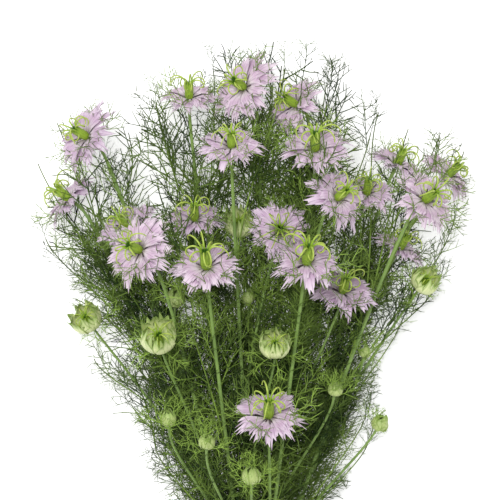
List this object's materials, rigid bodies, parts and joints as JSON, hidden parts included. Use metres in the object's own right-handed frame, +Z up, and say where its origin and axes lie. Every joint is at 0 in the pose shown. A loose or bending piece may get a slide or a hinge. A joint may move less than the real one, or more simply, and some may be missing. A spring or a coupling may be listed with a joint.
{
  "type": "bunch of nigella flowers with young seed pods",
  "caption": "Cut bunch of love-in-a-mist lying on its side: branched stems with thread leaves, jagged pink flowers round young horned seed pods, and green buds.",
  "frame": {"origin": "middle of the base of the bunch's box, on the surface that it lies on", "axes": "+Y along the bunch from the cut ends to the flowers, +Z up from the surface, +X to the right seen from above"},
  "size_m": [0.3016, 0.4554, 0.1391],
  "materials": {
    "sepal": "matte",
    "pod": "satin",
    "bud": "matte",
    "stem": "matte",
    "band": "matte"
  },
  "bodies": {
    "root": {"sepals_01": "sepal", "sepals_02": "sepal", "sepals_03": "sepal", "sepals_04": "sepal", "sepals_05": "sepal", "sepals_06": "sepal", "sepals_07": "sepal", "sepals_08": "sepal", "sepals_09": "sepal", "sepals_10": "sepal", "sepals_11": "sepal", "sepals_12": "sepal", "sepals_13": "sepal", "sepals_14": "sepal", "sepals_15": "sepal", "sepals_16": "sepal", "sepals_17": "sepal", "sepals_18": "sepal", "sepals_19": "sepal", "sepals_20": "sepal", "sepals_21": "sepal", "seed_pod_01": "pod", "seed_pod_02": "pod", "seed_pod_03": "pod", "seed_pod_04": "pod", "seed_pod_05": "pod", "seed_pod_06": "pod", "seed_pod_07": "pod", "seed_pod_08": "pod", "seed_pod_09": "pod", "seed_pod_10": "pod", "seed_pod_11": "pod", "seed_pod_12": "pod", "seed_pod_13": "pod", "seed_pod_14": "pod", "seed_pod_15": "pod", "seed_pod_16": "pod", "seed_pod_17": "pod", "seed_pod_18": "pod", "seed_pod_19": "pod", "seed_pod_20": "pod", "seed_pod_21": "pod", "opening_bud_01": "bud", "opening_bud_02": "bud", "opening_bud_03": "bud", "opening_bud_04": "bud", "opening_bud_05": "bud", "stem_01": "stem", "stem_02": "stem", "stem_03": "stem", "stem_04": "stem", "stem_05": "stem", "stem_06": "stem", "stem_07": "stem", "stem_08": "stem", "stem_09": "stem", "stem_10": "stem", "stem_11": "stem", "stem_12": "stem", "rubber_band": "band"}
  },
  "joints": []
}
